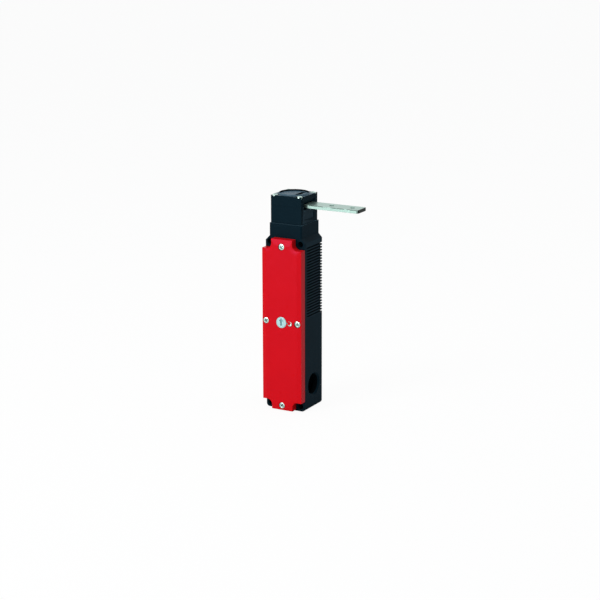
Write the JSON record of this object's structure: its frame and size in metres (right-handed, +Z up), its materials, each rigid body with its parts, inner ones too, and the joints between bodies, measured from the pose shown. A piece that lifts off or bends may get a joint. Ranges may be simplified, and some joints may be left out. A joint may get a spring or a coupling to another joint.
{
  "type": "tongue interlock switch",
  "caption": "Slim upright machine safety switch with a red lid, a square actuating head, a flat steel tongue in its side slot, guard locking and a turnable auxiliary release.",
  "frame": {"origin": "centre of the rectangle of fixing holes, on the rear mounting face", "axes": "+X to the right as seen from the front, towards the tongue; +Y back into the surface that the switch is screwed to; +Z up towards the head"},
  "size_m": [0.0859, 0.0401, 0.1937],
  "materials": {
    "black_plastic": "glass-filled thermoplastic, bluish black, fine moulded grain",
    "red_plastic": "signal red thermoplastic, satin",
    "grey_plastic": "dark grey thermoplastic",
    "ivory_plastic": "natural nylon",
    "rubber": "black nitrile rubber",
    "zinc_steel": "bright zinc-plated steel",
    "tongue_steel": "stainless steel strip, satin",
    "cam_steel": "hardened steel",
    "spring_steel": "spring steel wire and ground pins",
    "soft_iron": "nickel-plated soft iron",
    "copper_wire": "enamelled copper winding",
    "silver_contact": "silver alloy contacts"
  },
  "bodies": {
    "housing": {"housing": "black_plastic", "cover": "red_plastic", "cover_gasket": "rubber", "cover_screws": "zinc_steel", "plug_left": "grey_plastic", "plug_below": "grey_plastic", "release_seal": "rubber", "seal_screw": "zinc_steel", "head_housing": "black_plastic", "head_seal": "rubber", "head_plate": "zinc_steel", "head_screws": "zinc_steel", "cam_axle": "spring_steel", "contact_block": "grey_plastic", "terminal_screws": "zinc_steel", "terminal_clamps": "zinc_steel", "fixed_contacts": "silver_contact", "return_spring": "spring_steel", "solenoid_yoke": "zinc_steel", "coil_bobbin": "ivory_plastic", "coil_winding": "copper_wire", "pole_core": "soft_iron", "lock_spring": "spring_steel"},
    "tongue": {"tongue": "tongue_steel"},
    "cam": {"cam": "cam_steel"},
    "plunger": {"plunger": "cam_steel", "control_slide": "ivory_plastic", "contact_carrier": "ivory_plastic", "moving_contacts": "silver_contact"},
    "release": {"release_disc": "zinc_steel", "release_shaft": "zinc_steel", "release_clip": "spring_steel"},
    "lock": {"armature": "soft_iron", "lock_pin": "spring_steel", "release_fork": "cam_steel"}
  },
  "joints": [
    {"name": "tongue_slide", "type": "slide", "parent": "housing", "child": "tongue", "axis": [1, 0, 0], "range_m": [0, 0.027]},
    {"name": "cam_turn", "type": "hinge", "parent": "housing", "child": "cam", "pos_m": [-0.003, -0.0152, 0.09765], "axis": [0, 1, 0], "range_deg": [0, 120]},
    {"name": "plunger_slide", "type": "slide", "parent": "housing", "child": "plunger", "axis": [0, 0, 1], "range_m": [-0.0026, 0], "deforming": ["return_spring"]},
    {"name": "release_turn", "type": "hinge", "parent": "housing", "child": "release", "pos_m": [0, -0.039, 0.00345], "axis": [0, 1, 0], "range_deg": [0, 90]},
    {"name": "lock_slide", "type": "slide", "parent": "housing", "child": "lock", "axis": [0, 0, 1], "range_m": [-0.00424, 0], "deforming": ["lock_spring"]}
  ],
  "couplings": [
    {"joint": "cam_turn", "follows": "tongue_slide", "rad_per_m": 77.5},
    {"joint": "plunger_slide", "follows": "tongue_slide", "ratio": -0.0962},
    {"joint": "release_turn", "follows": "lock_slide", "rad_per_m": -370.3}
  ]
}
